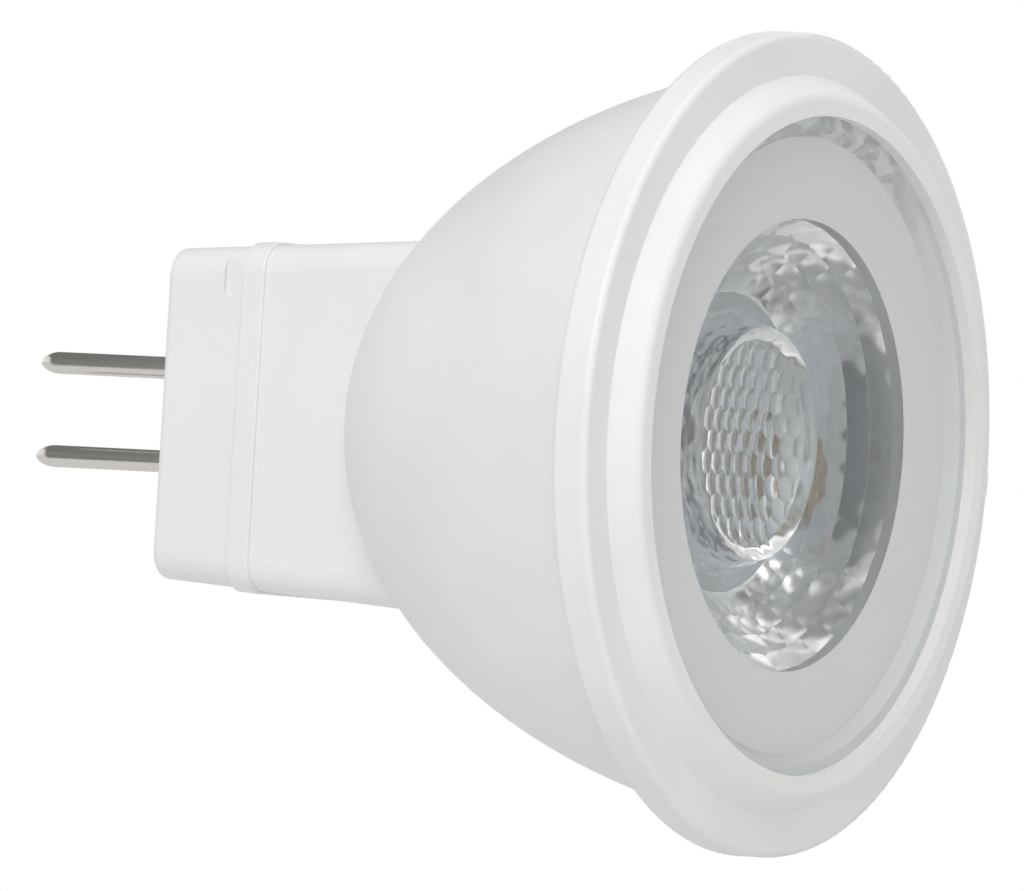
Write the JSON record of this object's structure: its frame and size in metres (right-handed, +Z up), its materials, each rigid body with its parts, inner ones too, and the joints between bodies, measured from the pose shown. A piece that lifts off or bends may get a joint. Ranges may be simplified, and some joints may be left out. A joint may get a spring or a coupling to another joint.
{
  "type": "led spot bulb",
  "caption": "Pin-base LED spot bulb: white bowl-shaped housing on a flat base, with a front rim and a ring that holds a faceted clear lens.",
  "frame": {"origin": "on the lamp's axis, at the rear face of the base, between the roots of the contact pins", "axes": "+X along the lamp's axis towards the light, Y across the base's thickness, +Z up along the base's height and through the pins"},
  "size_m": [0.0382, 0.035, 0.035],
  "materials": {
    "white_plastic": "satin moulded",
    "clear_acrylic": "polished, with a frosted outer face",
    "plated_pin": "bright plated",
    "sink_aluminium": "pressed",
    "thermal_rubber": "matt",
    "board_white": "solder mask on aluminium",
    "phosphor": "silicone fill on a white base",
    "screw_steel": "zinc plated",
    "board_green": "solder mask on glass-fibre board",
    "package_black": "moulded epoxy",
    "ferrite": "ground",
    "can_sleeve": "drawn can",
    "chip_ceramic": "fired",
    "lead_white": "extruded insulation"
  },
  "bodies": {
    "root": {"housing": "white_plastic", "base_cap": "white_plastic", "lens_ring": "white_plastic", "lens": "clear_acrylic", "contact_pin_upper": "plated_pin", "contact_pin_lower": "plated_pin", "heat_sink": "sink_aluminium", "thermal_pad": "thermal_rubber", "led_board": "board_white", "led_emitter": "phosphor", "board_screws": "screw_steel", "driver_board": "board_green", "bridge_rectifier": "package_black", "driver_chip": "package_black", "power_inductor": "ferrite", "smoothing_capacitor": "can_sleeve", "ceramic_capacitors": "chip_ceramic", "sense_resistors": "package_black", "lead_positive": "lead_white", "lead_negative": "lead_white"}
  },
  "joints": []
}
